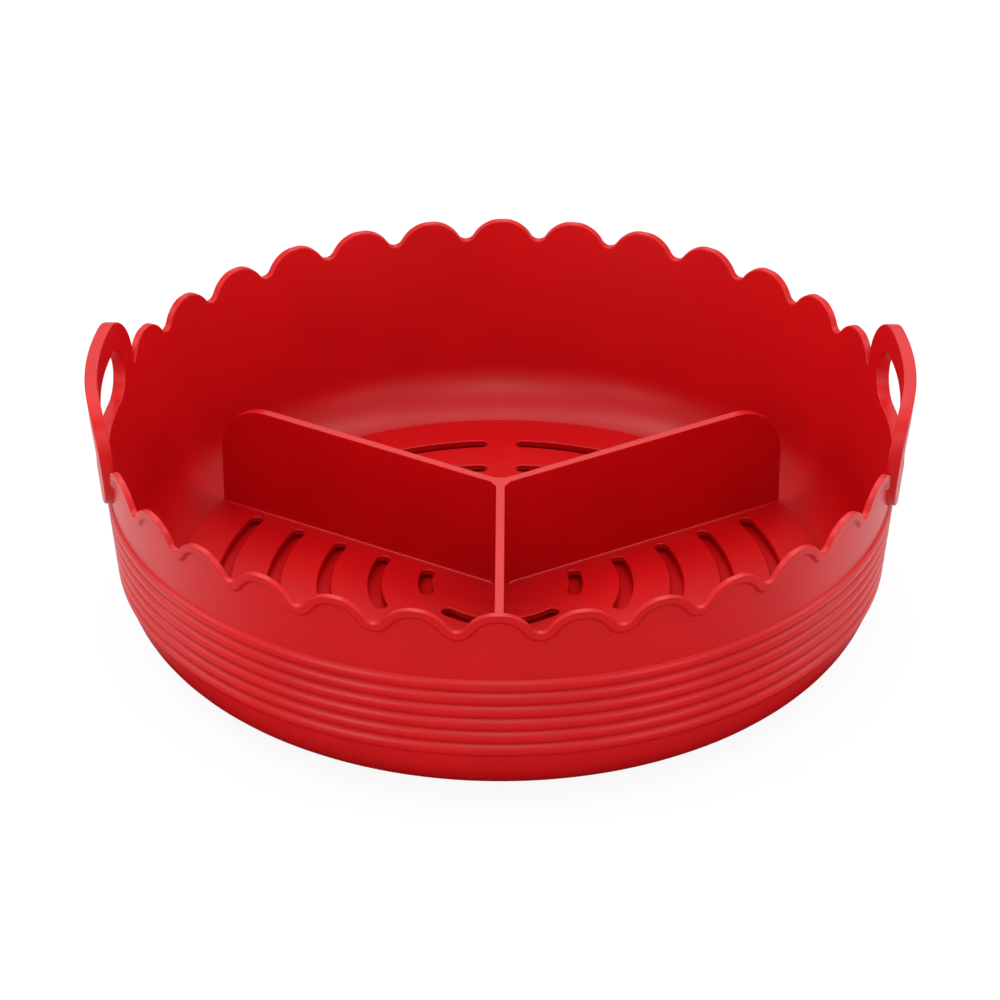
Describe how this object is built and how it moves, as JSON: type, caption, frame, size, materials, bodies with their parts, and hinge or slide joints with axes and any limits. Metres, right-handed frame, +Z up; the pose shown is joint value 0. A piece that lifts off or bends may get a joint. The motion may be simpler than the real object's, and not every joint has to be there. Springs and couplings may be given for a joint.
{
  "type": "air fryer liner",
  "caption": "Round silicone air fryer liner: ribbed bowl with a scalloped rim and loop handles, holding a loose slotted tray with divider fins.",
  "frame": {"origin": "middle of the bowl's flat underside, on the surface it stands on", "axes": "+Z up, +X through the middles of the two handles, -Y towards the fin that points to the viewer"},
  "size_m": [0.2048, 0.2, 0.0678],
  "materials": {
    "bowl_silicone": "satin red silicone",
    "tray_silicone": "satin red silicone"
  },
  "bodies": {
    "root": {"liner_bowl": "bowl_silicone", "divider_tray": "tray_silicone"}
  },
  "joints": []
}
